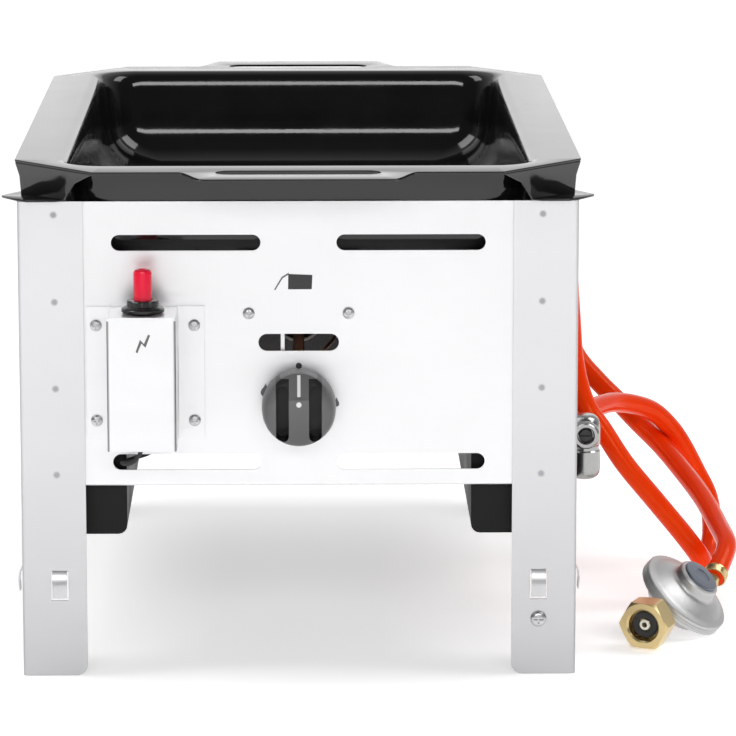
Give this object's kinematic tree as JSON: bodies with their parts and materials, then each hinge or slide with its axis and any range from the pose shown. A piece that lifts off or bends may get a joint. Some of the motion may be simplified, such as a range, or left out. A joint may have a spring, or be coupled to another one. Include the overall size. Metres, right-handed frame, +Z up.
{
  "type": "table-top gas roaster",
  "caption": "Table-top gas roaster: folded steel body on legs, lift-off enamelled roasting pan, push-button igniter, control knob, gas hose and regulator.",
  "frame": {"origin": "on the table, under the middle of the body and pan", "axes": "+Z up, -Y towards the front with the knob, +X towards the gas inlet"},
  "size_m": [0.4677, 0.608, 0.317],
  "materials": {
    "stainless_steel": "satin",
    "black_enamel": "gloss",
    "zinc_plated_steel": "satin",
    "black_plastic": "satin",
    "white_paint": "matt",
    "red_plastic": "gloss",
    "brass": "satin",
    "die_cast_metal": "satin",
    "blue_grey_cap": "satin",
    "orange_rubber": "gloss",
    "black_rubber": "matt",
    "copper_pipe": "satin",
    "white_ceramic": "gloss"
  },
  "bodies": {
    "body": {"left_side_panel": "stainless_steel", "right_side_panel": "stainless_steel", "front_panel": "stainless_steel", "rear_panel": "stainless_steel", "igniter_bracket": "stainless_steel", "left_heat_shield": "black_enamel", "right_heat_shield": "black_enamel", "valve_bracket": "zinc_plated_steel", "valve_screw_left": "zinc_plated_steel", "valve_screw_right": "zinc_plated_steel", "burner_tube": "zinc_plated_steel", "front_burner_rail": "zinc_plated_steel", "rear_burner_rail": "zinc_plated_steel", "pilot_bracket": "zinc_plated_steel", "igniter_screw_1": "zinc_plated_steel", "igniter_screw_2": "zinc_plated_steel", "igniter_screw_3": "zinc_plated_steel", "igniter_screw_4": "zinc_plated_steel", "foot_screw": "zinc_plated_steel", "foot_screw_nut": "zinc_plated_steel", "regulator_spring": "zinc_plated_steel", "piezo_body": "black_plastic", "igniter_collar": "black_plastic", "gas_injector": "brass", "inlet_lock_nut": "brass", "hose_union_nut": "brass", "regulator_inlet_stem": "brass", "regulator_outlet_nipple": "brass", "regulator_ferrule": "brass", "gas_valve_body": "die_cast_metal", "gas_inlet_elbow": "die_cast_metal", "inlet_ferrule": "die_cast_metal", "regulator_lower_shell": "die_cast_metal", "regulator_bonnet": "die_cast_metal", "regulator_cap": "blue_grey_cap", "gas_hose": "orange_rubber", "ignition_lead": "black_rubber", "regulator_diaphragm": "black_rubber", "regulator_seal": "black_rubber", "burner_feed_pipe": "copper_pipe", "gas_supply_pipe": "copper_pipe", "flame_sensor": "copper_pipe", "sensor_lead": "copper_pipe", "ignition_electrode": "white_ceramic"},
    "pan": {"roasting_pan": "black_enamel"},
    "push_rod": {"valve_push_rod": "zinc_plated_steel"},
    "knob": {"control_knob": "black_plastic", "knob_pointer": "white_paint", "valve_spindle": "zinc_plated_steel"},
    "button": {"igniter_button": "red_plastic"},
    "nut": {"cylinder_nut": "brass"}
  },
  "joints": [
    {"name": "pan_lift", "type": "slide", "parent": "body", "child": "pan", "axis": [0, 0, 1], "range_m": [0, 0.12]},
    {"name": "knob_press", "type": "slide", "parent": "body", "child": "push_rod", "axis": [0, 1, 0], "range_m": [0, 0.004], "stiffness_N_per_m": 1500, "springref_m": -0.003},
    {"name": "knob_turn", "type": "hinge", "parent": "push_rod", "child": "knob", "pos_m": [0, -0.2555, 0.17], "axis": [0, -1, 0], "range_deg": [0, 180]},
    {"name": "igniter_press", "type": "slide", "parent": "body", "child": "button", "axis": [0, 0, -1], "range_m": [0, 0.007], "stiffness_N_per_m": 800, "springref_m": -0.003},
    {"name": "cylinder_nut_turn", "type": "hinge", "parent": "body", "child": "nut", "pos_m": [0.21569, -0.18958, 0.01667], "axis": [-0.4302, -0.9018, -0.0398], "continuous": true}
  ]
}
